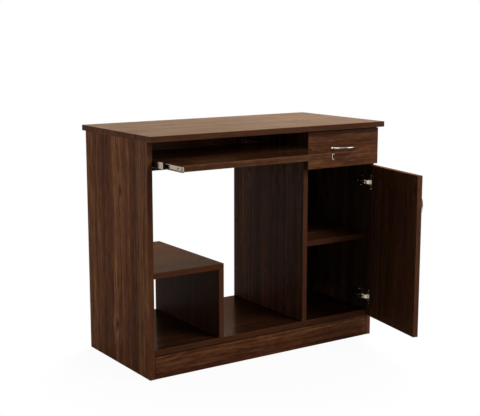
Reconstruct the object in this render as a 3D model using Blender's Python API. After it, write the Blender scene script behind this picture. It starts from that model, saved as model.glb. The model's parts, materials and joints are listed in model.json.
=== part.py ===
import math

import bmesh
import bpy
from mathutils import Matrix, Vector

# All sizes are in metres. +X is the sitter's right, -Y the front and +Z up. The origin lies on the floor, at
# the middle of the front plinth's underside. Moving pieces are set as they are used: keyboard tray pulled
# out, door swung open, drawer shut.

# Overall sizes
DESK_H = 0.750
TOP_W = 0.900
TOP_D = 0.454
TOP_FRONT_OVERHANG = 0.038
TOP_REAR_OVERHANG = 0.005
TOP_SIDE_OVERHANG = 0.010
BOARD_T = 0.018
EDGE_R = 0.001
SEAT = 0.0003

# Carcass layout
KNEE_W = 0.561
PLINTH_H = 0.075
PLINTH_RECESS = 0.001
APRON_H = 0.150
BAY_W = 0.2325
BAY_H = 0.222
LOWER_BAY_H = 0.252
SHELF_SETBACK = 0.006
SHELF_PLAY = 0.0008
BACK_T = 0.004
BACK_MARGIN = 0.003

# Shelf pins
PIN_R = 0.0025
PIN_HOLE_DEPTH = 0.010
PIN_REACH = 0.008
PIN_FROM_EDGE = 0.050
PIN_COLLAR_R = 0.004
PIN_COLLAR_T = 0.0015

# Keyboard tray
TRAY_TAIL = 0.030
TRAY_DROP = 0.056
TRAY_PROUD = 0.020
TRAY_OUT = 0.142
TRAY_RAIL_DROP = 0.0020

# Telescopic slides, one size for the tray and the drawer
SLIDE_T = 0.0127
SLIDE_SETBACK = 0.012
SLIDE_REAR_GAP = 0.031
SLIDE_SHEET = 0.0012
SLIDE_BEND_R = 0.0016
SLIDE_IN_H = 0.017
SLIDE_RACE = 0.00155
SLIDE_RUN = 0.0004
SLIDE_WEB_GAP = 0.0008
SLIDE_SHARE = 0.5
OUTER_FLANGE = 0.0085
SLIDE_HOLE_R = 0.0022
SLIDE_HOLE_END = 0.013
SLIDE_HOLE_STEP = 0.022
GUIDE_L = 0.040
GUIDE_PROUD = 0.010
GUIDE_WEB = 0.0006

# Drawer and door fronts
FRONT_GAP = 0.0025
FRONT_REVEAL = 0.0015
DRAWER_FRONT_H = 0.122
DRAWER_TOP_GAP = 0.0035
DOOR_TOP_GAP = 0.0045
DOOR_OPEN = math.radians(80.0)

# Drawer box
BOX_T = 0.012
BOX_H = 0.088
BOX_LIFT = 0.014
BOX_BOTTOM_T = 0.004
GROOVE_UP = 0.010
GROOVE_DEPTH = 0.006

# Bow handles
HANDLE_CENTRES = 0.096
HANDLE_RISE = 0.024
HANDLE_W = 0.0065
HANDLE_T = 0.0050
HANDLE_FOOT_W = 0.0090
HANDLE_FOOT_T = 0.0080
HANDLE_STEPS = 20
HANDLE_SIDES = 14
DRAWER_HANDLE_LIFT = 0.0035
DOOR_HANDLE_DROP = 0.102
DOOR_HANDLE_INSET = 0.034

# Concealed hinges. Pin places are in the plane seen from above with the door shut: X from the right panel's
# inner face, Y from the carcass front. The link turns back by LINK_SHARE of the door's angle, as the second
# link of the real four-bar hinge makes it do.
HINGE_TOP_END = 0.059
HINGE_LOW_END = 0.067
ARM_PIN = Vector((-0.0158, 0.0047))
CUP_PIN = Vector((0.0046, -0.0059))
LINK_SHARE = 0.5
LINK_BOW = 0.0129
LINK_BOW_AT = 0.63
LINK_T = 0.002
LINK_W = 0.0135
LINK_WAIST = 0.0122
LINK_EYE_R = 0.0030
LINK_STEPS = 10
HINGE_PIN_R = 0.0014
PIN_PLAY = 0.0003
TONGUE_W = 0.0065
ARM_W = 0.0125
ARM_WALL = 0.0015
ARM_END = 0.064
ARM_HIGH = 0.0165
ARM_STEP = 0.014
ARM_SCREWS = (0.023, 0.041)
ARM_HOLE_R = 0.0027
NOSE_R = 0.0034
PLATE_T = 0.003
PLATE_W = 0.048
PLATE_R = 0.005
PLATE_RIB_H = 0.006
PLATE_START = 0.026
PLATE_END = 0.050
PLATE_SCREWS = 0.032
PLATE_HOLE_R = 0.0024
CUP_R = 0.0174
CUP_WALL = 0.0012
CUP_DEPTH = 0.0115
CUP_PLAY = 0.0003
CUP_PIN_OFFSET = 0.0091
FLANGE_T = 0.0012
FLANGE_H = 0.060
FLANGE_W = 0.020
FLANGE_R = 0.004
FLANGE_SCREWS = 0.045
FLANGE_HOLE_R = 0.0021
ROUND_SEGMENTS = 32
PIN_SEGMENTS = 16

# Derived sizes and places
CARCASS_W = TOP_W - 2 * TOP_SIDE_OVERHANG
CARCASS_D = TOP_D - TOP_FRONT_OVERHANG - TOP_REAR_OVERHANG
SLIDE_L = CARCASS_D - BOARD_T - SLIDE_SETBACK - SLIDE_REAR_GAP
TRAY_D = SLIDE_L + TRAY_TAIL
LEFT_X = -CARCASS_W / 2
RIGHT_X = CARCASS_W / 2
LEFT_INNER_X = LEFT_X + BOARD_T
RIGHT_INNER_X = RIGHT_X - BOARD_T
DIVIDER_LEFT_X = LEFT_INNER_X + KNEE_W
DIVIDER_RIGHT_X = DIVIDER_LEFT_X + BOARD_T
FRONT_Y = -(PLINTH_RECESS + BOARD_T / 2)
BACK_Y = FRONT_Y + CARCASS_D
TOP_UNDER = DESK_H - BOARD_T
BASE_UNDER = PLINTH_H
BASE_TOP = BASE_UNDER + BOARD_T
TRAY_TOP = TOP_UNDER - TRAY_DROP
TRAY_MID_Z = TRAY_TOP - BOARD_T / 2
FRONT_INNER_Y = FRONT_Y - FRONT_GAP
FRONT_LEFT_X = DIVIDER_LEFT_X + FRONT_REVEAL
FRONT_RIGHT_X = RIGHT_X - FRONT_REVEAL
DRAWER_FRONT_TOP = TOP_UNDER - DRAWER_TOP_GAP
DRAWER_FRONT_LOW = DRAWER_FRONT_TOP - DRAWER_FRONT_H
DOOR_TOP = DRAWER_FRONT_LOW - DOOR_TOP_GAP
DOOR_LOW = BASE_UNDER
MIDDLE_H = SLIDE_IN_H + 2 * (SLIDE_RACE + SLIDE_SHEET)
OUTER_H = MIDDLE_H + 2 * (SLIDE_RUN + SLIDE_SHEET)
ARM_LOW = PLATE_T + SEAT


def clear_scene():
    for obj in list(bpy.data.objects):
        bpy.data.objects.remove(obj, do_unlink=True)


def make_material(name, colour, roughness, metallic):
    made = bpy.data.materials.new(name)
    made.use_nodes = True
    shader = made.node_tree.nodes["Principled BSDF"]
    shader.inputs["Base Color"].default_value = (*colour, 1.0)
    shader.inputs["Roughness"].default_value = roughness
    shader.inputs["Metallic"].default_value = metallic
    return made


def make_empty(name, place, turn=0.0, parent=None):
    empty = bpy.data.objects.new(name, None)
    empty.location = place
    empty.rotation_euler = (0.0, 0.0, turn)
    empty.parent = parent
    bpy.context.scene.collection.objects.link(empty)
    return empty


def finish(name, bm, material, place=(0.0, 0.0, 0.0), parent=None, smooth=False):
    bmesh.ops.recalc_face_normals(bm, faces=bm.faces)
    mesh = bpy.data.meshes.new(name)
    bm.to_mesh(mesh)
    bm.free()
    if smooth:
        mesh.shade_smooth()
        mesh.set_sharp_from_angle(angle=math.radians(35.0))
    if material:
        mesh.materials.append(material)
    obj = bpy.data.objects.new(name, mesh)
    obj.location = place
    obj.parent = parent
    bpy.context.scene.collection.objects.link(obj)
    return obj


def block(size):
    bm = bmesh.new()
    bmesh.ops.create_cube(bm, size=1.0)
    bmesh.ops.scale(bm, vec=size, verts=bm.verts)
    return bm


def board(name, low, high, material, parent=None):
    # A panel with eased edges, between two corners in its parent's frame, with its origin at its middle.
    low = Vector(low)
    high = Vector(high)
    obj = finish(name, block(high - low), material, (low + high) / 2, parent)
    bevel = obj.modifiers.new("eased_edges", "BEVEL")
    bevel.width = EDGE_R
    bevel.segments = 2
    return obj


def combine(obj, other, operation):
    other.hide_render = True
    other.display_type = "WIRE"
    modifier = obj.modifiers.new(operation.lower(), "BOOLEAN")
    modifier.operation = operation
    modifier.object = other


def cut_box(obj, low, high, parent=None):
    low = Vector(low)
    high = Vector(high)
    cutter = finish(obj.name + "_cut", block(high - low), None, (low + high) / 2, parent)
    combine(obj, cutter, "DIFFERENCE")


def rod(radius, length, axis, segments, places=((0.0, 0.0, 0.0),)):
    # A cylinder along an axis, or one at each of several places.
    turned = {"X": Vector((1, 0, 0)), "Y": Vector((0, 1, 0)), "Z": Vector((0, 0, 1))}[axis]
    spin = Vector((0, 0, 1)).rotation_difference(turned).to_matrix().to_4x4()
    bm = bmesh.new()
    for place in places:
        bmesh.ops.create_cone(
            bm,
            cap_ends=True,
            segments=segments,
            radius1=radius,
            radius2=radius,
            depth=length,
            matrix=Matrix.Translation(place) @ spin,
        )
    return bm


def drill(obj, places, radius, wall, axis, parent=None):
    # Screw holes through one wall of a piece, each centred in the wall.
    bores = rod(radius, 2 * wall, axis, PIN_SEGMENTS, places)
    combine(obj, finish(obj.name + "_bores", bores, None, parent=parent), "DIFFERENCE")


def arc(centre, radius, start, end, steps):
    points = []
    for i in range(steps + 1):
        angle = start + (end - start) * i / steps
        points.append(Vector((centre[0] + radius * math.cos(angle), centre[1] + radius * math.sin(angle))))
    return points


def rounded(corners, steps=3):
    # Rounds each corner (x, y, radius) of an outline, leaving those of radius 0 sharp.
    points = []
    for i, (x, y, radius) in enumerate(corners):
        here = Vector((x, y))
        before = Vector(corners[i - 1][:2]) - here
        after = Vector(corners[(i + 1) % len(corners)][:2]) - here
        if radius == 0.0:
            points.append(here)
            continue
        before.normalize()
        after.normalize()
        half = before.angle(after) / 2
        centre = here + (before + after).normalized() * radius / math.sin(half)
        reach = radius / math.tan(half)
        first = here + before * reach - centre
        last = here + after * reach - centre
        sweep = first.angle_signed(last)
        base = math.atan2(first.y, first.x)
        points += arc(centre, radius, base, base - sweep, steps)
    return points


def prism(outline, low, high, lay):
    # Extrudes a closed outline from low to high; lay turns an outline point and a height into a place.
    bm = bmesh.new()
    ring = [bm.verts.new(lay(p, low)) for p in outline]
    face = bm.faces.new(ring)
    grown = bmesh.ops.extrude_face_region(bm, geom=[face])
    moved = [v for v in grown["geom"] if isinstance(v, bmesh.types.BMVert)]
    shift = Vector(lay(outline[0], high)) - Vector(lay(outline[0], low))
    bmesh.ops.translate(bm, vec=shift, verts=moved)
    return bm


def upright(point, height):
    return (point[0], point[1], height)


def channel_outline(web, tip, height):
    # A C section bent from sheet: the web's back at web, the flanges running to tip, height over them.
    toward = math.copysign(1.0, tip - web)
    inside = web + toward * SLIDE_SHEET
    half = height / 2
    return rounded(
        [
            (web, -half, SLIDE_BEND_R),
            (tip, -half, 0.0),
            (tip, -half + SLIDE_SHEET, 0.0),
            (inside, -half + SLIDE_SHEET, 0.0),
            (inside, half - SLIDE_SHEET, 0.0),
            (tip, half - SLIDE_SHEET, 0.0),
            (tip, half, 0.0),
            (web, half, SLIDE_BEND_R),
        ]
    )


def rail(name, outline, wall_x, side, front, length, material, parent):
    # A slide member along Y; an outline's first coordinate is its distance from the wall at wall_x.
    def lay(point, along):
        return (side * point[0], along, point[1])

    bm = prism(outline, 0.0, length, lay)
    return finish(name, bm, material, (wall_x, front, 0.0), parent, smooth=True)


def telescopic_slide(prefix, wall_x, side, fixed, middle_run, inner_run, inner_front, steel, plastic):
    # The members lie one inside the other. Distances are from the wall: outer web, middle web, guide web,
    # then the inner member's flange tips and its web.
    middle_web = SEAT + SLIDE_SHEET + SLIDE_WEB_GAP
    guide_web = middle_web + SLIDE_SHEET + SEAT
    inner_tip = guide_web + GUIDE_WEB + SEAT
    middle_tip = SLIDE_T - SLIDE_SHEET - SLIDE_WEB_GAP
    outer = channel_outline(SEAT, OUTER_FLANGE, OUTER_H)
    middle = channel_outline(middle_web, middle_tip, MIDDLE_H)
    inner = channel_outline(SLIDE_T, inner_tip, SLIDE_IN_H)
    fixed_rail = rail(prefix + "_outer_rail", outer, wall_x, side, SLIDE_SETBACK, SLIDE_L, steel, fixed)
    rail(prefix + "_middle_rail", middle, wall_x, side, SLIDE_SETBACK, SLIDE_L, steel, middle_run)
    moving_rail = rail(prefix + "_inner_rail", inner, wall_x, side, inner_front, SLIDE_L, steel, inner_run)
    ends = (SLIDE_HOLE_END, SLIDE_HOLE_END + SLIDE_HOLE_STEP)
    row = [*ends, SLIDE_L / 2, SLIDE_L - ends[1], SLIDE_L - ends[0]]
    fixed_x = wall_x + side * (SEAT + SLIDE_SHEET / 2)
    moving_x = wall_x + side * (SLIDE_T - SLIDE_SHEET / 2)
    fixed_holes = [(fixed_x, SLIDE_SETBACK + y, 0.0) for y in row]
    moving_holes = [(moving_x, inner_front + y, 0.0) for y in row]
    drill(fixed_rail, fixed_holes, SLIDE_HOLE_R, SLIDE_SHEET, "X", fixed)
    drill(moving_rail, moving_holes, SLIDE_HOLE_R, SLIDE_SHEET, "X", inner_run)
    guide_half = SLIDE_IN_H / 2 + SLIDE_RACE - SEAT
    race_low = SLIDE_IN_H / 2 + SEAT
    guide = [
        Vector((guide_web, -guide_half)),
        Vector((middle_tip, -guide_half)),
        Vector((middle_tip, -race_low)),
        Vector((guide_web + GUIDE_WEB, -race_low)),
        Vector((guide_web + GUIDE_WEB, race_low)),
        Vector((middle_tip, race_low)),
        Vector((middle_tip, guide_half)),
        Vector((guide_web, guide_half)),
    ]
    guide_front = SLIDE_SETBACK - GUIDE_PROUD
    rail(prefix + "_guide", guide, wall_x, side, guide_front, GUIDE_L, plastic, middle_run)


def bow_handle(name, place, turn, material, parent):
    # An arc swept from foot to foot. Its section thickens into the feet, whose ends lie flat on the front.
    half = HANDLE_CENTRES / 2
    radius = (half * half + HANDLE_RISE * HANDLE_RISE) / (2 * HANDLE_RISE)
    reach = math.asin(half / radius)
    bm = bmesh.new()
    rings = []
    for i in range(HANDLE_STEPS + 1):
        share = 2 * i / HANDLE_STEPS - 1
        angle = share * reach
        middle = Vector((radius * math.sin(angle), radius - HANDLE_RISE - radius * math.cos(angle), 0.0))
        foot = abs(share) ** 4
        out = Vector((math.sin(angle), -math.cos(angle), 0.0))
        if i in (0, HANDLE_STEPS):
            out = Vector((math.copysign(1.0, share), 0.0, 0.0))
        width = HANDLE_W + (HANDLE_FOOT_W - HANDLE_W) * foot
        depth = HANDLE_T + (HANDLE_FOOT_T - HANDLE_T) * foot
        ring = []
        for j in range(HANDLE_SIDES):
            around = 2 * math.pi * j / HANDLE_SIDES
            across = Vector((0.0, 0.0, width / 2 * math.sin(around)))
            ring.append(bm.verts.new(middle + out * (depth / 2 * math.cos(around)) + across))
        rings.append(ring)
    for before, after in zip(rings, rings[1:]):
        for j in range(HANDLE_SIDES):
            k = (j + 1) % HANDLE_SIDES
            bm.faces.new((before[j], before[k], after[k], after[j]))
    bm.faces.new(rings[0])
    bm.faces.new(rings[-1])
    obj = finish(name, bm, material, place, parent, smooth=True)
    obj.rotation_euler = (0.0, turn, 0.0)
    return obj


def build_carcass(wood, back):
    side_top = TOP_UNDER - SEAT
    top_front = FRONT_Y - TOP_FRONT_OVERHANG
    board("desk_top", (-TOP_W / 2, top_front, TOP_UNDER), (TOP_W / 2, top_front + TOP_D, DESK_H), wood)
    board("left_side_panel", (LEFT_X, FRONT_Y, 0.0), (LEFT_INNER_X, BACK_Y, side_top), wood)
    right = board("right_side_panel", (RIGHT_INNER_X, FRONT_Y, 0.0), (RIGHT_X, BACK_Y, side_top), wood)
    inner_left = LEFT_INNER_X + SEAT
    inner_right = RIGHT_INNER_X - SEAT
    board("base_board", (inner_left, FRONT_Y, BASE_UNDER), (inner_right, BACK_Y, BASE_TOP), wood)
    plinth_top = PLINTH_H - SEAT
    plinth_front = FRONT_Y + PLINTH_RECESS
    plinth_high = (inner_right, plinth_front + BOARD_T, plinth_top)
    board("front_plinth", (inner_left, plinth_front, 0.0), plinth_high, wood)
    plinth_back = BACK_Y - PLINTH_RECESS
    plinth_low = (inner_left, plinth_back - BOARD_T, 0.0)
    board("rear_plinth", plinth_low, (inner_right, plinth_back, plinth_top), wood)
    divider_low = (DIVIDER_LEFT_X, FRONT_Y, BASE_TOP + SEAT)
    divider = board("divider_panel", divider_low, (DIVIDER_RIGHT_X, BACK_Y, side_top), wood)
    knee_right = DIVIDER_LEFT_X - SEAT
    apron_low = (inner_left, BACK_Y - BOARD_T, TOP_UNDER - APRON_H)
    board("rear_apron", apron_low, (knee_right, BACK_Y, side_top), wood)
    back_low = (DIVIDER_LEFT_X + BACK_MARGIN, BACK_Y + SEAT, BASE_UNDER + BACK_MARGIN)
    back_high = (RIGHT_X - BACK_MARGIN, BACK_Y + SEAT + BACK_T, side_top)
    board("cabinet_back", back_low, back_high, back)

    bay_right = LEFT_INNER_X + BAY_W
    bay_top = BASE_TOP + BAY_H
    upright_low = (bay_right, FRONT_Y, BASE_TOP + SEAT)
    board("bay_upright", upright_low, (bay_right + BOARD_T, BACK_Y, bay_top - SEAT), wood)
    bay_shelf_high = (bay_right + BOARD_T, BACK_Y, bay_top + BOARD_T)
    board("bay_shelf", (inner_left, FRONT_Y, bay_top), bay_shelf_high, wood)

    shelf_low = BASE_TOP + LOWER_BAY_H
    shelf_front = FRONT_Y + SHELF_SETBACK
    board(
        "cabinet_shelf",
        (DIVIDER_RIGHT_X + SHELF_PLAY, shelf_front, shelf_low),
        (RIGHT_INNER_X - SHELF_PLAY, BACK_Y - SEAT, shelf_low + BOARD_T),
        wood,
    )
    return right, divider, shelf_low


def build_shelf_pins(right, divider, shelf_low, steel):
    # Each pin stands in a blind hole of its panel. Its collar is against the panel and the shelf lies on it.
    pin_z = shelf_low - SEAT - PIN_R
    rows = {"front": FRONT_Y + PIN_FROM_EDGE, "rear": BACK_Y - PIN_FROM_EDGE}
    walls = {"left": (divider, DIVIDER_RIGHT_X, 1.0), "right": (right, RIGHT_INNER_X, -1.0)}
    for wall_name, (panel, wall_x, side) in walls.items():
        for row_name, y in rows.items():
            name = f"shelf_pin_{wall_name}_{row_name}"
            hole = rod(PIN_R + SEAT, 2 * PIN_HOLE_DEPTH, "X", PIN_SEGMENTS)
            cutter = finish(name + "_hole", hole, None, (wall_x, y, pin_z))
            combine(panel, cutter, "DIFFERENCE")
            inside = PIN_HOLE_DEPTH - SEAT
            shank = rod(PIN_R, inside + PIN_REACH, "X", PIN_SEGMENTS)
            middle = wall_x + side * (PIN_REACH - inside) / 2
            pin = finish(name, shank, steel, (middle, y, pin_z), smooth=True)
            collar = rod(PIN_COLLAR_R, PIN_COLLAR_T - SEAT, "X", PIN_SEGMENTS)
            collar_x = wall_x + side * (SEAT + PIN_COLLAR_T) / 2
            ring = finish(name + "_collar", collar, None, (collar_x, y, pin_z - PIN_COLLAR_R + PIN_R))
            combine(pin, ring, "UNION")


def build_tray(wood, steel, plastic):
    fixed = make_empty("tray_slide_line", (0.0, FRONT_Y, TRAY_MID_Z - TRAY_RAIL_DROP))
    middle_run = make_empty("tray_middle_run", (0.0, -TRAY_OUT * SLIDE_SHARE, 0.0), parent=fixed)
    tray_run = make_empty("tray_run", (0.0, -TRAY_OUT, 0.0), parent=fixed)
    left = LEFT_INNER_X + SLIDE_T + SEAT
    right = DIVIDER_LEFT_X - SLIDE_T - SEAT
    low = (left, -TRAY_PROUD, TRAY_RAIL_DROP - BOARD_T / 2)
    high = (right, TRAY_D - TRAY_PROUD, TRAY_RAIL_DROP + BOARD_T / 2)
    board("keyboard_tray", low, high, wood, tray_run)
    ends = {"left": (LEFT_INNER_X, 1.0), "right": (DIVIDER_LEFT_X, -1.0)}
    for name, (wall_x, side) in ends.items():
        telescopic_slide(
            f"tray_{name}", wall_x, side, fixed, middle_run, tray_run, -TRAY_PROUD, steel, plastic
        )


def build_drawer(wood, ply, steel, plastic, chrome):
    box_low = DRAWER_FRONT_LOW + BOX_LIFT
    fixed = make_empty("drawer_slide_line", (0.0, FRONT_Y, box_low + BOX_H / 2))
    middle_run = make_empty("drawer_middle_run", (0.0, 0.0, 0.0), parent=fixed)
    run = make_empty("drawer_run", (0.0, 0.0, 0.0), parent=fixed)
    front_low = DRAWER_FRONT_LOW - fixed.location.z
    front_high = DRAWER_FRONT_TOP - fixed.location.z
    front_face = -FRONT_GAP - BOARD_T
    front_corners = (FRONT_LEFT_X, front_face, front_low), (FRONT_RIGHT_X, -FRONT_GAP, front_high)
    board("drawer_front", *front_corners, wood, run)
    left = DIVIDER_RIGHT_X + SLIDE_T + SEAT
    right = RIGHT_INNER_X - SLIDE_T - SEAT
    half = BOX_H / 2
    start = SEAT - FRONT_GAP
    end = start + SLIDE_L
    sides = [
        board("drawer_left_side", (left, start, -half), (left + BOX_T, end, half), wood, run),
        board("drawer_right_side", (right - BOX_T, start, -half), (right, end, half), wood, run),
    ]
    inner_left = left + BOX_T + SEAT
    inner_right = right - BOX_T - SEAT
    inner_front_high = (inner_right, start + BOX_T, half)
    ends = [
        board("drawer_inner_front", (inner_left, start, -half), inner_front_high, wood, run),
        board("drawer_back", (inner_left, end - BOX_T, -half), (inner_right, end, half), wood, run),
    ]
    floor_low = -half + GROOVE_UP
    floor_high = floor_low + BOX_BOTTOM_T
    reach = GROOVE_DEPTH - SEAT
    floor_left = left + BOX_T - reach
    floor_right = right - BOX_T + reach
    floor_front = start + BOX_T - reach
    floor_back = end - BOX_T + reach
    low = Vector((floor_left, floor_front, floor_low))
    high = Vector((floor_right, floor_back, floor_high))
    finish("drawer_bottom", block(high - low), ply, (low + high) / 2, run)
    play = Vector((SEAT, SEAT, SEAT))
    for piece in sides + ends:
        cut_box(piece, low - play, high + play, run)
    walls = {"left": (DIVIDER_RIGHT_X, 1.0), "right": (RIGHT_INNER_X, -1.0)}
    for name, (wall_x, side) in walls.items():
        telescopic_slide(f"drawer_{name}", wall_x, side, fixed, middle_run, run, start, steel, plastic)
    middle_x = (FRONT_LEFT_X + FRONT_RIGHT_X) / 2
    handle_z = (front_low + front_high) / 2 + DRAWER_HANDLE_LIFT
    bow_handle("drawer_handle", (middle_x, front_face - SEAT, handle_z), 0.0, chrome, run)


def hinge_arm(name, corner, z, steel):
    # A channel that straddles the plate's rib, ending in a tongue that carries the link's pin.
    tongue = arc(ARM_PIN, NOSE_R, math.radians(-175.0), 0.0, 10)
    tongue.append(Vector((-ARM_LOW - ARM_WALL, ARM_STEP + ARM_WALL / 2)))
    tongue.append(Vector((-ARM_HIGH, ARM_STEP + ARM_WALL / 2)))
    bm = prism(tongue, -TONGUE_W / 2, TONGUE_W / 2, upright)
    arm = finish(name, bm, steel, (*corner, z), smooth=True)
    profile = rounded(
        [
            (-ARM_LOW, ARM_STEP, 0.0),
            (-ARM_LOW, ARM_END, 0.0),
            (-ARM_HIGH, ARM_END, ARM_WALL),
            (-ARM_HIGH, ARM_STEP, ARM_WALL),
        ]
    )
    shell = finish(name + "_shell", prism(profile, -ARM_W / 2, ARM_W / 2, upright), None, (*corner, z))
    half = ARM_W / 2 - ARM_WALL
    hollow_low = (corner.x - ARM_HIGH + ARM_WALL, corner.y + ARM_STEP + ARM_WALL, z - half)
    hollow_high = (corner.x, corner.y + ARM_END + ARM_WALL, z + half)
    cut_box(shell, hollow_low, hollow_high)
    combine(arm, shell, "UNION")
    pin = finish(name + "_pin", rod(HINGE_PIN_R, LINK_W, "Z", PIN_SEGMENTS), None, (*(corner + ARM_PIN), z))
    combine(arm, pin, "UNION")
    top_x = corner.x - ARM_HIGH + ARM_WALL / 2
    drill(arm, [(top_x, corner.y + y, z) for y in ARM_SCREWS], ARM_HOLE_R, ARM_WALL, "X")


def hinge_plate(name, corner, z, steel):
    # Screw wings flat on the panel, and a rib inside the arm.
    def lay(point, depth):
        return (-depth, point[0], point[1])

    middle = (PLATE_START + PLATE_END) / 2
    half = (PLATE_END - PLATE_START) / 2
    rib_w = ARM_W - 2 * ARM_WALL - 2 * SEAT
    wings = rounded(
        [
            (-half, -rib_w / 2, 0.0),
            (-half / 2, -PLATE_W / 2, PLATE_R),
            (half / 2, -PLATE_W / 2, PLATE_R),
            (half, -rib_w / 2, 0.0),
            (half, rib_w / 2, 0.0),
            (half / 2, PLATE_W / 2, PLATE_R),
            (-half / 2, PLATE_W / 2, PLATE_R),
            (-half, rib_w / 2, 0.0),
        ]
    )
    place = (corner.x, corner.y + middle, z)
    plate = finish(name, prism(wings, SEAT, PLATE_T, lay), steel, place, smooth=True)
    rib_low = PLATE_T / 2
    rib_high = PLATE_T + PLATE_RIB_H
    rib = block((rib_high - rib_low, 2 * half, rib_w))
    seat = finish(name + "_rib", rib, None, (place[0] - (rib_low + rib_high) / 2, place[1], z))
    combine(plate, seat, "UNION")
    wing_x = corner.x - (SEAT + PLATE_T) / 2
    screws = [(wing_x, place[1], z + end * PLATE_SCREWS / 2) for end in (-1.0, 1.0)]
    drill(plate, screws, PLATE_HOLE_R, PLATE_T, "X")


def hinge_link(name, z, steel, parent):
    # A bowed strap between the two pins, wide at its eyes and waisted between, notched for the arm's tongue.
    reach = CUP_PIN - ARM_PIN
    across = Vector((reach.y, -reach.x)).normalized()
    control = reach * LINK_BOW_AT + across * LINK_BOW
    outer = []
    inner = []
    for i in range(LINK_STEPS + 1):
        t = i / LINK_STEPS
        point = 2 * t * (1 - t) * control + t * t * reach
        along = (2 * (1 - 2 * t) * control + 2 * t * reach).normalized()
        normal = Vector((along.y, -along.x))
        outer.append(point + normal * LINK_T / 2)
        inner.append(point - normal * LINK_T / 2)
    strap = prism(outer + inner[::-1], -LINK_W / 2, LINK_W / 2, upright)
    link = finish(name, strap, steel, (0.0, 0.0, z), parent, smooth=True)
    middle = control / 2 + reach / 4
    waist_r = (reach.length / 2 - LINK_EYE_R) / 2
    for edge in (-1.0, 1.0):
        scoop = rod(waist_r, 2 * LINK_EYE_R + LINK_T, "Y", ROUND_SEGMENTS)
        turn = math.atan2(reach.y, reach.x)
        bmesh.ops.scale(scoop, vec=(1.0, 1.0, (LINK_W - LINK_WAIST) / (2 * waist_r)), verts=scoop.verts)
        cutter = finish(f"{name}_waist", scoop, None, (*middle, z + edge * LINK_W / 2), parent)
        cutter.rotation_euler = (0.0, 0.0, turn)
        combine(link, cutter, "DIFFERENCE")
    pins = (Vector((0.0, 0.0)), reach)
    for place in pins:
        eye = finish(name + "_eye", rod(LINK_EYE_R, LINK_W, "Z", PIN_SEGMENTS), None, (*place, z), parent)
        combine(link, eye, "UNION")
    for place in pins:
        bore = rod(HINGE_PIN_R + PIN_PLAY, 2 * LINK_W, "Z", PIN_SEGMENTS)
        combine(link, finish(name + "_bore", bore, None, (*place, z), parent), "DIFFERENCE")
    notch = rod(NOSE_R + PIN_PLAY, TONGUE_W + 2 * PIN_PLAY, "Z", PIN_SEGMENTS)
    combine(link, finish(name + "_notch", notch, None, (0.0, 0.0, z), parent), "DIFFERENCE")


def hinge_cup(name, door, face_y, z, steel, parent):
    # A drawn cup let into the door, with a screw flange on the inner face and the link's pin fixed across it.
    def lay(point, height):
        return (point[0], height, point[1])

    middle_x = -CUP_PIN_OFFSET
    flange = rounded(
        [
            (-FLANGE_W / 2, -FLANGE_H / 2, FLANGE_R),
            (FLANGE_W / 2, -FLANGE_H / 2, FLANGE_R),
            (FLANGE_W / 2, FLANGE_H / 2, FLANGE_R),
            (-FLANGE_W / 2, FLANGE_H / 2, FLANGE_R),
        ]
    )
    wings = prism(flange, SEAT, SEAT + FLANGE_T, lay)
    cup = finish(name, wings, steel, (middle_x, face_y, z), parent, smooth=True)
    body_h = CUP_DEPTH + SEAT + FLANGE_T
    body = finish(
        name + "_body",
        rod(CUP_R, body_h, "Y", ROUND_SEGMENTS),
        None,
        (middle_x, face_y + body_h / 2 - CUP_DEPTH, z),
        parent,
    )
    combine(cup, body, "UNION")
    hollow_h = body_h - CUP_WALL
    hollow = rod(CUP_R - CUP_WALL, 2 * hollow_h, "Y", ROUND_SEGMENTS)
    hollow_y = face_y - CUP_DEPTH + CUP_WALL + hollow_h
    combine(cup, finish(name + "_hollow", hollow, None, (middle_x, hollow_y, z), parent), "DIFFERENCE")
    wall_mid = CUP_R - CUP_WALL / 2
    pin_l = 2 * math.sqrt(wall_mid * wall_mid - CUP_PIN_OFFSET * CUP_PIN_OFFSET)
    pin = finish(name + "_pin", rod(HINGE_PIN_R, pin_l, "Z", PIN_SEGMENTS), None, (0.0, 0.0, z), parent)
    combine(cup, pin, "UNION")
    flange_y = face_y + SEAT + FLANGE_T / 2
    screws = [(middle_x, flange_y, z + end * FLANGE_SCREWS / 2) for end in (-1.0, 1.0)]
    drill(cup, screws, FLANGE_HOLE_R, FLANGE_T, "Y", parent)
    bore = rod(CUP_R + CUP_PLAY, 2 * (CUP_DEPTH + CUP_PLAY), "Y", ROUND_SEGMENTS)
    combine(door, finish(name + "_bore", bore, None, (middle_x, face_y, z), parent), "DIFFERENCE")


def build_door(wood, steel, chrome):
    corner = Vector((RIGHT_INNER_X, FRONT_Y))
    turn_back = -LINK_SHARE * DOOR_OPEN
    link_axis = make_empty("hinge_link_axis", (*(corner + ARM_PIN), 0.0), turn_back)
    door_axis = make_empty("door_axis", (*(CUP_PIN - ARM_PIN), 0.0), DOOR_OPEN - turn_back, parent=link_axis)
    cup_pin = corner + CUP_PIN
    face_y = FRONT_INNER_Y - cup_pin.y
    low = Vector((FRONT_LEFT_X - cup_pin.x, face_y - BOARD_T, DOOR_LOW))
    high = Vector((FRONT_RIGHT_X - cup_pin.x, face_y, DOOR_TOP))
    door = board("door_panel", low, high, wood, door_axis)
    for label, z in (("lower", DOOR_LOW + HINGE_LOW_END), ("upper", DOOR_TOP - HINGE_TOP_END)):
        hinge_plate(f"{label}_hinge_plate", corner, z, steel)
        hinge_arm(f"{label}_hinge_arm", corner, z, steel)
        hinge_link(f"{label}_hinge_link", z, steel, link_axis)
        hinge_cup(f"{label}_hinge_cup", door, face_y, z, steel, door_axis)
    handle_place = (low.x + DOOR_HANDLE_INSET, low.y - SEAT, DOOR_TOP - DOOR_HANDLE_DROP)
    bow_handle("door_handle", handle_place, math.pi / 2, chrome, door_axis)


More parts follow.
